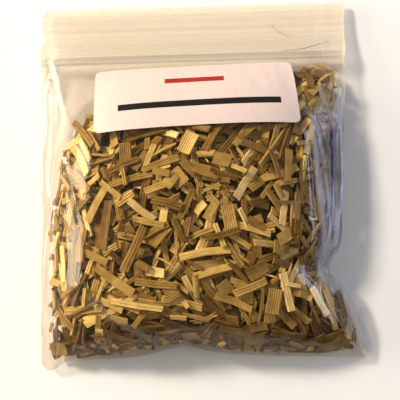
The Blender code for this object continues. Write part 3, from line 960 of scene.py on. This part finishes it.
class Wall:
    # one wall of the film from inside: how deep under it each spot is already filled
    def __init__(self, side):
        self.side = side
        cell = heap["cell"]
        xs = np.arange(heap["low"][0], heap["high"][0], cell)
        ys = np.arange(heap["low"][1], heap["high"][1], cell)
        self.x, self.y = np.meshgrid(xs, ys, indexing="ij")
        surface = filmFront if side > 0 else filmBack
        self.z = surface(self.x, self.y)
        smooth = frontAt if side > 0 else backAt
        self.slopeX, self.slopeY = np.gradient(smooth(self.x, self.y), cell)
        self.dx, self.dy = np.gradient(self.z, cell)
        self.upright = 1 / np.sqrt(1 + self.slopeX ** 2 + self.slopeY ** 2)
        room = (filmFront(self.x, self.y) - filmBack(self.x, self.y)) * self.upright
        fromLeft = self.x - leftSealAt(self.y)
        right = rightSealAt(self.y)
        self.fromFold = self.y - bottomFoldAt(self.x)
        self.fromSide = np.minimum(fromLeft, right - self.x)
        self.tired = np.zeros(self.x.shape)
        low = smoothStep(5, 2, self.fromFold)
        share = heap["wallShare"][side] + side * heap["footShift"] * low
        inside = smoothStep(0, 1.0, fromLeft - heap["sealRoom"])
        inside *= smoothStep(0, 1.0, right - heap["sealRoom"] - self.x)
        inside *= smoothStep(0, 1.0, -pastHeapAt(self.x, self.y))
        inside *= smoothStep(0, 1.0, self.fromFold - heap["foldRoom"])
        self.limit = np.minimum(room * share, heap["deepest"]) * inside
        size = heap["hollowSize"]
        hollow = noiseAt(self.x / size + 20, self.y / size + 8, heap["seed"] + side) * 0.5 + 0.5
        thick = smoothStep(4, 12, room)
        self.filled = film["thickness"] + heap["clearance"] + heap["hollow"] * hollow * thick

    def cellOf(self, x, y):
        i = np.clip(np.round((x - heap["low"][0]) / heap["cell"]).astype(int), 0, self.x.shape[0] - 1)
        j = np.clip(np.round((y - heap["low"][1]) / heap["cell"]).astype(int), 0, self.x.shape[1] - 1)
        return i, j

    def depthOf(self, x, y, z):
        i, j = self.cellOf(x, y)
        wall = self.z[i, j] + self.dx[i, j] * (x - self.x[i, j]) + self.dy[i, j] * (y - self.y[i, j])
        return (wall - z) * self.side * self.upright[i, j], i, j

    def frameAt(self, i, j, turn):
        # centre on the wall, direction of the bit's length, of its width, and outwards
        slopeX, slopeY, side = self.slopeX[i, j], self.slopeY[i, j], self.side
        out = np.stack([-slopeX, -slopeY, np.ones_like(slopeX)], axis=-1) * side
        out /= np.linalg.norm(out, axis=-1, keepdims=True)
        along = np.stack([np.cos(turn), np.sin(turn), slopeX * np.cos(turn) + slopeY * np.sin(turn)], axis=-1)
        along /= np.linalg.norm(along, axis=-1, keepdims=True)
        centre = np.stack([self.x[i, j], self.y[i, j], self.z[i, j]], axis=-1)
        return centre, along, np.cross(out, along), out

    def findSpot(self, draw):
        best = None
        while best is None:
            x = draw.uniform(heap["low"][0], heap["high"][0], heap["places"])
            y = draw.uniform(heap["low"][1], heap["high"][1], heap["places"])
            chance = draw.random(heap["places"])
            i, j = self.cellOf(x, y)
            taken = chance < heap["spotChance"] / self.upright[i, j]
            usable = (self.limit[i, j] > heap["leastDepth"]) & taken
            if usable.any():
                best = int(np.argmin(np.where(usable, self.filled[i, j] + self.tired[i, j], 1e9)))
        return i[best], j[best]

    def lay(self, size, draw):
        # lays one bit as near to the film as what is already there lets it come
        spotI, spotJ = self.findSpot(draw)
        if self.fromFold[spotI, spotJ] < heap["crumbReach"] and size[0] > heap["crumbLength"]:
            return None
        turns = heap["turns"]
        i, j = np.full(turns, spotI), np.full(turns, spotJ)
        x, y = self.x[i, j] / heap["drift"], self.y[i, j] / heap["drift"]
        flow = math.pi * 1.3 * noiseAt(x + 11, y + 6, heap["seed"] + 2)
        turn = flow + draw.normal(0, heap["driftTurn"], turns)
        if self.fromFold[spotI, spotJ] < heap["edgeReach"]:
            turn = draw.normal(0, heap["edgeTurn"], turns)
        elif self.fromSide[spotI, spotJ] < heap["edgeReach"]:
            turn = draw.normal(math.pi / 2, heap["edgeTurn"], turns)
        turn += math.pi * draw.integers(0, 2, turns)
        centre, along, wide, out = self.frameAt(i, j, turn)
        u = np.linspace(-0.47, 0.47, 9)[:, None] * size[0] * np.ones((1, 3))
        v = np.linspace(-0.45, 0.45, 3)[None, :] * size[1] * np.ones((9, 1))
        u, v = u.ravel(), v.ravel()
        spots = centre[:, None] + along[:, None] * u[:, None] + wide[:, None] * v[:, None]
        depth, a, b = self.depthOf(spots[..., 0], spots[..., 1], spots[..., 2])
        need = self.filled[a, b] - depth
        first, second = need[:, u < 0], need[:, u > 0]
        steepest = heap["steepestTilt"]
        lean = np.clip((second.max(axis=1) - first.max(axis=1)) / (size[0] * 0.6), -steepest, steepest)
        first, second = need[:, v < 0], need[:, v > 0]
        roll = np.clip((second.max(axis=1) - first.max(axis=1)) / size[1], -steepest, steepest)
        plane = lean[:, None] * u + roll[:, None] * v
        touch = need - plane
        pastFilm = (-depth - plane).max(axis=1)
        sink = np.maximum(np.quantile(touch, heap["settle"], axis=1), pastFilm + heap["clearance"])
        deepest = np.quantile(sink[:, None] + plane + depth + size[2] * 0.8 - self.limit[a, b], 0.9, axis=1)
        sink = np.where(deepest > 0, 1e9, sink)
        best = int(np.argmin(sink))
        if sink[best] > 1e8:
            self.tired[max(spotI - 2, 0):spotI + 3, max(spotJ - 2, 0):spotJ + 3] += heap["tiring"]
            return None
        lean, roll, sink = lean[best], roll[best], sink[best]
        self.fill(centre[best], along[best], wide[best], size, lean, roll, sink)
        turned = along[best] - out[best] * lean
        turned /= np.linalg.norm(turned)
        up = out[best] + along[best] * lean + wide[best] * roll
        up /= np.linalg.norm(up)
        across = np.cross(up, turned)
        across /= np.linalg.norm(across)
        up = np.cross(turned, across)
        place = centre[best] - out[best] * (sink + size[2] / 2)
        return place, turned, across, up

    def fill(self, centre, along, wide, size, lean, roll, sink):
        step = heap["cell"] * 0.8
        u, v = np.meshgrid(np.arange(-size[0] / 2, size[0] / 2 + step, step),
                           np.arange(-size[1] / 2, size[1] / 2 + step, step))
        u, v = u.ravel(), v.ravel()
        spots = centre + along * u[:, None] + wide * v[:, None]
        depth, a, b = self.depthOf(spots[:, 0], spots[:, 1], spots[:, 2])
        np.maximum.at(self.filled, (a, b), sink + lean * u + roll * v + depth + size[2] * 0.85)


def layHeap(sizes):
    # every bit's kind, shape, place and turn, drawn in one order for each wall
    draw = np.random.default_rng(heap["seed"])
    kinds = list(bitKinds)
    shares = np.array([bitKinds[kind]["share"] for kind in kinds])
    shares = shares / shares.sum()
    early = shares * [heap["earlySmall"] if kind in heap["smallKinds"] else 1 for kind in kinds]
    early = early / early.sum()
    laid = {kind: [] for kind in kinds}
    walls, taken = [], []
    for side, count in ((1, heap["frontBits"]), (-1, heap["backBits"])):
        wall = Wall(side)
        walls.append(wall)
        for number in range(count):
            # the small bits come later, so that they lie in the gaps behind the large ones
            now = early if number < count * heap["earlyShare"] else shares
            kind = kinds[int(draw.choice(len(kinds), p=now))]
            shape = int(draw.integers(len(sizes[kind])))
            grow = draw.uniform(*heap["grow"])
            found = wall.lay(sizes[kind][shape] * grow, draw)
            if found is None:
                continue
            place, along, across, up = found
            if draw.random() < heap["flipShare"]:
                across, up = -across, -up
            taken.append((place, along, across, up, sizes[kind][shape] * grow))
            laid[kind].append(bitOf(place, along, across, up, shape, grow, draw))
        shown = wall.limit > 0.9
        print("wall", side, "bare share", float((wall.filled[shown] < 1.6).mean().round(3)))
    loose = fillEdge(walls, taken, sizes, shares, draw)
    for kind, place, along, across, up, shape, grow in loose:
        laid[kind].append(bitOf(place, along, across, up, shape, grow, draw))
    print("loose bits", len(loose))
    return laid


def bitOf(place, along, across, up, shape, grow, draw):
    # painted shade: the bits get darker towards the foot and in the lower right corner
    paintedShade = smoothStep(heap["paintedShadeTop"], heap["paintedShadeTop"] - 8, place[1])
    paintedShade = max(paintedShade, 0.8 * smoothStep(38, 46, place[0]) * smoothStep(-30, -40, place[1]))
    tone = np.clip(draw.beta(*heap["toneSpread"]) - heap["paintedShadeDepth"] * paintedShade, 0, 1)
    turn = Matrix((along, across, up)).transposed().to_euler()
    return place * mm, tuple(turn), shape, grow, tone


looseBits = {
    "tries": 16000,
    "reach": 11.0,        # how far in from the edge of the heap they lie
    "cell": 0.6,
    "most": 0.22,         # share of a bit that may be where there is another one
    "clearance": 0.35,
    "tilt": 0.4,
    "roll": 0.6,
    "height": 28.0,
    "grow": (0.8, 1.05),
    "middleRoom": 0.6,    # from the edge of the heap to the middle of a bit, and to its ends
    "endRoom": 0.3,
    "leastGap": 1.2,      # between the walls
}


def spotsIn(place, along, across, up, size):
    # points through one bit, close enough together for the cells
    cell = looseBits["cell"]
    u, v, w = (np.linspace(-0.45, 0.45, max(2, int(side / cell) + 1)) * side for side in size)
    u, v, w = (part.ravel()[:, None] for part in np.meshgrid(u, v, w, indexing="ij"))
    return place + along * u + across * v + up * w


def cellsOf(spots):
    lowest = np.array([*heap["low"], 0.0])
    cells = ((spots - lowest) / looseBits["cell"]).astype(int)
    most = ((np.array([*heap["high"], looseBits["height"]]) - lowest) / looseBits["cell"]).astype(int)
    return tuple(np.clip(cells, 0, most - 1).T)


def fillEdge(walls, taken, sizes, shares, draw):
    # loose bits between the walls round the edge of the heap, where it is seen from the side
    r = looseBits
    span = np.array([heap["high"][0] - heap["low"][0], heap["high"][1] - heap["low"][1], r["height"]])
    full = np.zeros((span / r["cell"]).astype(int), bool)
    for bit in taken:
        full[cellsOf(spotsIn(*bit))] = True
    front, back = walls
    edge = np.minimum(np.minimum(-pastHeapAt(front.x, front.y), front.fromFold), front.fromSide)
    kinds = list(bitKinds)
    found = []
    for attempt in range(r["tries"]):
        x, y, z = draw.random(4)[:3]
        x, y = heap["low"][0] + x * span[0], heap["low"][1] + y * span[1]
        kind = kinds[int(draw.choice(len(kinds), p=shares))]
        shape = int(draw.integers(len(sizes[kind])))
        grow = draw.uniform(*r["grow"])
        turn, tilt, roll = draw.uniform(0, 2 * math.pi), draw.normal(0, r["tilt"]), draw.normal(0, r["roll"])
        draw.random()      # unused, and keeps the order of the draws
        i, j = front.cellOf(x, y)
        if not r["middleRoom"] < edge[i, j] < r["reach"]:
            continue
        lowest, highest = back.z[i, j] + r["clearance"], front.z[i, j] - r["clearance"]
        if highest - lowest < r["leastGap"]:
            continue
        size = sizes[kind][shape] * grow
        along = np.array([math.cos(turn) * math.cos(tilt), math.sin(turn) * math.cos(tilt), math.sin(tilt)])
        level = np.array([-math.sin(turn), math.cos(turn), 0.0])
        over = np.cross(along, level)
        across = level * math.cos(roll) + over * math.sin(roll)
        up = np.cross(along, across)
        if up[2] < 0:
            across, up = -across, -up
        place = np.array([x, y, lowest + (highest - lowest) * z])
        spots = spotsIn(place, along, across, up, size)
        a, b = front.cellOf(spots[:, 0], spots[:, 1])
        room = np.minimum(front.z[a, b] - spots[:, 2], spots[:, 2] - back.z[a, b])
        if room.min() < r["clearance"] or edge[a, b].min() < r["endRoom"]:
            continue
        cells = cellsOf(spots)
        if full[cells].mean() > r["most"]:
            continue
        full[cells] = True
        found.append((kind, place, along, across, up, shape, grow))
    return found


def bitsTree():
    # puts one of the bits on each point, turned and sized as the point says
    tree = bpy.data.node_groups.new("lay_bits", "GeometryNodeTree")
    addSockets(tree, [("Places", "NodeSocketGeometry"), ("Bits", "NodeSocketCollection"),
                      ("Size", "NodeSocketFloat"), ("Finish", "NodeSocketMaterial")],
               [("Heap", "NodeSocketGeometry")])
    given = tree.nodes.new("NodeGroupInput").outputs
    shapes = addNode(tree, "GeometryNodeCollectionInfo",
                     {"Collection": given["Bits"], "Separate Children": True, "Reset Children": True})
    turn = addNode(tree, "GeometryNodeInputNamedAttribute", {"Name": "turn"}, data_type="FLOAT_VECTOR")
    shape = addNode(tree, "GeometryNodeInputNamedAttribute", {"Name": "shape"}, data_type="INT")
    grow = addNode(tree, "GeometryNodeInputNamedAttribute", {"Name": "grow"}, data_type="FLOAT")
    rotation = addNode(tree, "FunctionNodeEulerToRotation", {0: turn.outputs["Attribute"]})
    scale = mathNode(tree, "MULTIPLY", grow.outputs["Attribute"], given["Size"])
    placed = addNode(tree, "GeometryNodeInstanceOnPoints",
                     {"Points": given["Places"], "Instance": shapes.outputs[0], "Pick Instance": True,
                      "Instance Index": shape.outputs["Attribute"], "Rotation": rotation.outputs[0],
                      "Scale": scale})
    real = addNode(tree, "GeometryNodeRealizeInstances", {"Geometry": placed.outputs[0]})
    dressed = addNode(tree, "GeometryNodeSetMaterial",
                      {"Geometry": real.outputs[0], "Material": given["Finish"]})
    result = tree.nodes.new("NodeGroupOutput")
    tree.links.new(dressed.outputs[0], result.inputs[0])
    return tree


def placeBits(kind, shapes, laid, tree, material):
    mesh = bpy.data.meshes.new(kind)
    mesh.from_pydata([tuple(bit[0]) for bit in laid], [], [])
    columns = [("turn", "FLOAT_VECTOR", "vector", [value for bit in laid for value in bit[1]]),
               ("shape", "INT", "value", [bit[2] for bit in laid]),
               ("grow", "FLOAT", "value", [bit[3] for bit in laid]),
               ("tone", "FLOAT", "value", [bit[4] for bit in laid])]
    for name, kindOfValue, field, values in columns:
        mesh.attributes.new(name, kindOfValue, "POINT").data.foreach_set(field, values)
    made = bpy.data.objects.new(kind, mesh)
    bpy.context.scene.collection.objects.link(made)
    spread = made.modifiers.new("lay_bits", "NODES")
    spread.node_group = tree
    named = {item.name: item.identifier for item in tree.interface.items_tree if item.in_out == "INPUT"}
    spread[named["Bits"]] = shapes
    spread[named["Size"]] = 1.0
    spread[named["Finish"]] = material
    bpy.context.view_layer.update()
    finished(made)
    for shape in list(shapes.objects):
        bpy.data.objects.remove(shape)
    bpy.data.collections.remove(shapes)
    print(kind, len(laid), "bits,", len(made.data.loops) - 2 * len(made.data.polygons), "triangles")
    return made


fibreLook = {
    "tones": [(0.0, (0.085, 0.040, 0.008)), (0.28, (0.24, 0.140, 0.032)), (0.54, (0.45, 0.305, 0.088)),
              (0.81, (0.74, 0.545, 0.195)), (1.0, (0.98, 0.80, 0.42))],
    "roughness": 0.55,
}


def fibreGroup():
    # fibres along each bit's own length, with its colour from its tone
    group = bpy.data.node_groups.new("dried_fibre", "ShaderNodeTree")
    addSockets(group, [(name, "NodeSocketFloat") for name in ("Tone", "Fibre scale", "Streak")],
               [("Colour", "NodeSocketColor"), ("Height", "NodeSocketFloat")])
    given = group.nodes.new("NodeGroupInput").outputs
    result = group.nodes.new("NodeGroupOutput")
    along = addNode(group, "ShaderNodeUVMap", uv_map="fibre")
    shift = addNode(group, "ShaderNodeCombineXYZ", {0: mathNode(group, "MULTIPLY", given["Tone"], 31.0),
                                                    1: mathNode(group, "MULTIPLY", given["Tone"], 17.0)})
    moved = addNode(group, "ShaderNodeVectorMath", {0: along.outputs[0], 1: shift.outputs[0]},
                    operation="ADD")
    stretch = addNode(group, "ShaderNodeMapping", {"Vector": moved.outputs[0]})
    stretch.inputs["Scale"].default_value = (9.0, 0.55, 1.0)
    streak = addNode(group, "ShaderNodeTexNoise",
                     {"Vector": stretch.outputs[0], "Scale": given["Fibre scale"], "Detail": 4.0,
                      "Roughness": 0.6})
    blotch = noiseNode(group, moved.outputs[0], 3.0, 2.0)
    uneven = mathNode(group, "SUBTRACT", streak.outputs["Fac"], 0.5)
    spread = mathNode(group, "MULTIPLY", uneven, given["Streak"])
    patch = mathNode(group, "MULTIPLY", mathNode(group, "SUBTRACT", blotch, 0.5), 0.4)
    tone = mathNode(group, "ADD", mathNode(group, "ADD", given["Tone"], spread), patch, clamp=True)
    group.links.new(colourRamp(group, tone, fibreLook["tones"]), result.inputs["Colour"])
    group.links.new(streak.outputs["Fac"], result.inputs["Height"])
    return group


def fibreMaterial(name, group, scale, streak, toneLow, toneHigh):
    material, tree, out = newMaterial(name)
    tone = addNode(tree, "ShaderNodeAttribute", attribute_name="tone")
    ranged = addNode(tree, "ShaderNodeMapRange",
                     {"Value": tone.outputs["Fac"], "To Min": toneLow, "To Max": toneHigh})
    fibre = addNode(tree, "ShaderNodeGroup", node_tree=group)
    tree.links.new(ranged.outputs[0], fibre.inputs["Tone"])
    fibre.inputs["Fibre scale"].default_value = scale
    fibre.inputs["Streak"].default_value = streak
    bump = bumpNode(tree, fibre.outputs["Height"], 0.5, 0.0002)
    addSkin(tree, out, {"Base Color": fibre.outputs["Colour"], "Roughness": fibreLook["roughness"],
                        "Specular IOR Level": 0.4, "Normal": bump})
    return material


def middleMaterial():
    material, tree, out = newMaterial("packed_dust")
    place = addNode(tree, "ShaderNodeTexCoord")
    # very dark grain: painted shade on the core, and the stray fibres' own dark colour
    grain = noiseNode(tree, place.outputs["Object"], 420.0, 4.0)
    colour = colourRamp(tree, grain, [(0.3, (0.025, 0.014, 0.004)), (0.7, (0.09, 0.055, 0.016))])
    addSkin(tree, out, {"Base Color": colour, "Roughness": 0.95, "Normal": bumpNode(tree, grain, 0.8, 0.001)})
    return material


paintedShadeCore = {      # a very dark core in place of the hidden filling: painted shade that shows only in the deepest gaps
    "rows": 70,
    "columns": 70,
    "depth": 5.4,         # under the film
    "inset": 10.0,        # from the edge of the heap
    "corner": 5.0,
    "steepest": 2.2,
    "thinnest": 0.25,
}


def makeMiddle(material):
    m = paintedShadeCore
    rows, columns, inset = m["rows"], m["columns"], m["inset"]
    top = heapTopAt(0) - inset
    foot = bagShape["foldY"] + inset
    y = np.linspace(foot, top, rows)[:, None] * np.ones((1, columns))
    left = np.maximum(leftSealAt(y), curveAt(heap["leftEdge"], y)) + inset
    right = rightSealAt(y) - inset
    corner = m["corner"] * np.abs((y - (top + foot) / 2) / ((top - foot) / 2)) ** 10
    across = np.sin(np.linspace(-1, 1, columns) * math.pi / 2)[None, :]
    x = left + corner + (right - left - 2 * corner) * (across + 1) / 2
    step = 0.4
    sheets = []
    for height, side in ((frontAt, 1), (backAt, -1)):
        slopeX = (height(x + step, y) - height(x - step, y)) / (2 * step)
        slopeY = (height(x, y + step) - height(x, y - step)) / (2 * step)
        steep = np.minimum(np.sqrt(1 + slopeX ** 2 + slopeY ** 2), m["steepest"])
        sheets.append(height(x, y) - side * m["depth"] * steep)
    middle = (sheets[0] + sheets[1]) / 2
    half = np.maximum((sheets[0] - sheets[1]) / 2, m["thinnest"])
    half[0, :] = half[-1, :] = 0
    half[:, 0] = half[:, -1] = 0
    points = np.concatenate([pointsOf(x, y, middle + half), pointsOf(x, y, middle - half)])
    faces = gridFaces(rows, columns) + gridFaces(rows, columns, rows * columns, turned=True)
    made = meshObject("packed_middle", points, faces, material)
    work = bmesh.new()
    work.from_mesh(made.data)
    bmesh.ops.remove_doubles(work, verts=work.verts, dist=1e-6)
    work.to_mesh(made.data)
    work.free()
    return made


strayFibres = {      # single fibres that lie between the walls, clear of the heap
    "radius": 0.17,
    "under": 0.25,
    "sides": 6,
    "steps": 14,
    "paths": [
        [(27.1, 55.2), (28.1, 53.7), (29.8, 51.7), (31.5, 50.6), (33.9, 49.7)],
        [(30.3, 43.8), (33.5, 44.1), (37.0, 44.4), (42.0, 45.7), (47.0, 47.1)],
        [(-51.2, 37.4), (-51.9, 36.0), (-51.5, 35.6), (-48.0, 34.4)],
        [(-51.7, 31.5), (-50.3, 30.7)],
        [(-51.2, 40.0), (-51.5, 37.1)],
    ],
}


def makeStrayFibres(material):
    f = strayFibres
    points, faces = [], []
    for path in f["paths"]:
        path = np.array(path, float)
        run = np.concatenate([[0], np.cumsum(np.hypot(*np.diff(path, axis=0).T))])
        at = np.linspace(0, run[-1], f["steps"])
        x = curveAt(list(zip(run, path[:, 0])), at)
        y = curveAt(list(zip(run, path[:, 1])), at)
        z = filmFront(x, y) - f["under"]
        centre = np.stack([x, y, z], axis=-1)
        along = np.gradient(centre, axis=0)
        along /= np.linalg.norm(along, axis=1, keepdims=True)
        across = np.cross(along, (0, 0, 1))
        across /= np.linalg.norm(across, axis=1, keepdims=True)
        up = np.cross(across, along)
        start = len(points)
        for k in range(f["steps"]):
            radius = f["radius"] * (0.45 + 0.55 * math.sin(math.pi * (k + 0.5) / f["steps"]))
            for turn in np.arange(f["sides"]) / f["sides"] * 2 * math.pi:
                ring = across[k] * math.cos(turn) + up[k] * math.sin(turn)
                points.append((centre[k] + radius * ring) * mm)
        for k in range(f["steps"] - 1):
            for e in range(f["sides"]):
                a, b = start + k * f["sides"] + e, start + k * f["sides"] + (e + 1) % f["sides"]
                faces.append((a, b, b + f["sides"], a + f["sides"]))
        faces.append(tuple(range(start, start + f["sides"])))
        faces.append(tuple(range(len(points) - f["sides"], len(points))))
    made = meshObject("stray_fibres", points, faces, material)
    tidyNormals(made)
    return made


def makeHeap():
    group = fibreGroup()
    looks = {
        "stalk_strips": fibreMaterial("stalk_fibre", group, 6.0, 0.45, 0.15, 0.95),
        "leaf_chips": fibreMaterial("leaf_fibre", group, 9.0, 0.40, 0.25, 0.85),
        "thin_slivers": fibreMaterial("sliver_fibre", group, 7.0, 0.45, 0.15, 0.95),
        "rolled_stalks": fibreMaterial("rolled_fibre", group, 6.0, 0.45, 0.10, 0.80),
        "stalk_ends": fibreMaterial("pith_fibre", group, 6.0, 0.30, 0.60, 1.0),
    }
    shapes, sizes = {}, {}
    for kind in bitKinds:
        shapes[kind], sizes[kind] = makeShapes(kind)
    laid = layHeap(sizes)
    tree = bitsTree()
    pieces = [placeBits(kind, shapes[kind], laid[kind], tree, looks[kind]) for kind in bitKinds]
    # this dark material paints shade on the core and colours the stray fibres
    paintedShade = middleMaterial()
    pieces.append(makeMiddle(paintedShade))
    pieces.append(makeStrayFibres(paintedShade))
    return pieces


def labelMaterial():
    material, tree, out = newMaterial("label_paper")
    flat = addNode(tree, "ShaderNodeUVMap", uv_map="label")
    split = addNode(tree, "ShaderNodeSeparateXYZ", {0: flat.outputs[0]})
    place = addNode(tree, "ShaderNodeTexCoord")
    pulp = noiseNode(tree, place.outputs["Object"], 900.0, 3.0)
    # white paper tinted peach and dimmed: painted warm light
    colour = colourRamp(tree, pulp, [(0.3, (0.62, 0.53, 0.515)), (0.7, (0.68, 0.58, 0.565))])
    inks = [("redRule", (0.33, 0.012, 0.008)), ("blackRule", (0.008, 0.006, 0.006))]
    for key, ink in inks:
        midX, midY, length, height = label[key]
        dx = mathNode(tree, "ABSOLUTE", mathNode(tree, "SUBTRACT", split.outputs[0], midX / 10))
        dy = mathNode(tree, "ABSOLUTE", mathNode(tree, "SUBTRACT", split.outputs[1], midY / 10))
        inX = mathNode(tree, "LESS_THAN", dx, length / 20)
        inY = mathNode(tree, "LESS_THAN", dy, height / 20)
        mask = mathNode(tree, "MULTIPLY", inX, inY)
        mixed = addNode(tree, "ShaderNodeMix", data_type="RGBA")
        tree.links.new(mask, mixed.inputs["Factor"])
        tree.links.new(colour, mixed.inputs[6])
        mixed.inputs[7].default_value = (*ink, 1)
        colour = mixed.outputs[2]
    addSkin(tree, out, {"Base Color": colour, "Roughness": 0.5, "Specular IOR Level": 0.4,
                        "Normal": bumpNode(tree, pulp, 0.15, 0.0001)})
    return material


def labelBase(x, y):
    # the film under the label, smoothed, because paper doesn't follow its small dents
    total = 0
    for dx, dy in ((0, 0), (2.5, 0), (-2.5, 0), (0, 2.5), (0, -2.5)):
        total = total + filmFront(x + dx, y + dy)
    return np.maximum(total / 5, filmFront(x, y))


def makeLabel(material):
    rows, columns = 44, 90
    halfX, halfY = label["size"][0] / 2, label["size"][1] / 2
    corner = label["corner"]
    bend = np.linspace(0, math.pi / 2, 9)
    ends = halfY - corner * (1 - np.cos(bend))
    up = np.concatenate([-ends, np.linspace(-ends[-1], ends[-1], rows - 16)[1:-1], ends[::-1]])
    past = np.clip(np.abs(up) - (halfY - corner), 0, corner)
    wide = halfX - corner + np.sqrt(corner ** 2 - past ** 2)
    u = np.linspace(-1, 1, columns)[None, :] * wide[:, None]
    v = up[:, None] * np.ones((1, columns))
    turn = math.radians(label["turn"])
    x = label["centre"][0] + (u * math.cos(turn) - v * math.sin(turn)) * label["lean"][0]
    y = label["centre"][1] + (v * math.cos(turn) + u * math.sin(turn)) * label["lean"][1]
    base = labelBase(x, y) + label["lift"]
    top = base + label["thickness"]
    points = np.concatenate([pointsOf(x, y, top), pointsOf(x, y, base)])
    rows = len(up)
    count = rows * columns
    faces = gridFaces(rows, columns) + gridFaces(rows, columns, count, turned=True)
    rim = list(range(columns)) + [r * columns + columns - 1 for r in range(1, rows)]
    rim += list(range(count - 2, count - columns - 1, -1)) + [r * columns for r in range(rows - 2, 0, -1)]
    for a, b in zip(rim, rim[1:] + rim[:1]):
        faces.append((b, a, count + a, count + b))
    made = meshObject("paper_label", points, faces, material)
    made.data.set_sharp_from_angle(angle=math.radians(50))
    flat = np.stack([u, v], axis=-1).reshape(-1, 2) / 10
    setUv(made.data, "label", np.concatenate([flat, flat + 20]))      # the underside reads far off the rules
    return made


makeCamera()
makeStudio()
print("camera and studio ready")
filmPiece = makeFilm(filmMaterial())
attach(filmPiece, "root")
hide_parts("bag_film")
print("film ready", len(filmPiece.data.polygons))
for piece in makeZipTrack(milkyMaterial()):
    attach(piece, "root")
print("zip ready")
for piece in makeHeap():
    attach(piece, "root")
    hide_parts("cut_lemongrass")
print("heap ready")
labelPiece = makeLabel(labelMaterial())
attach(labelPiece, "root")
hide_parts("label")
print("label ready")
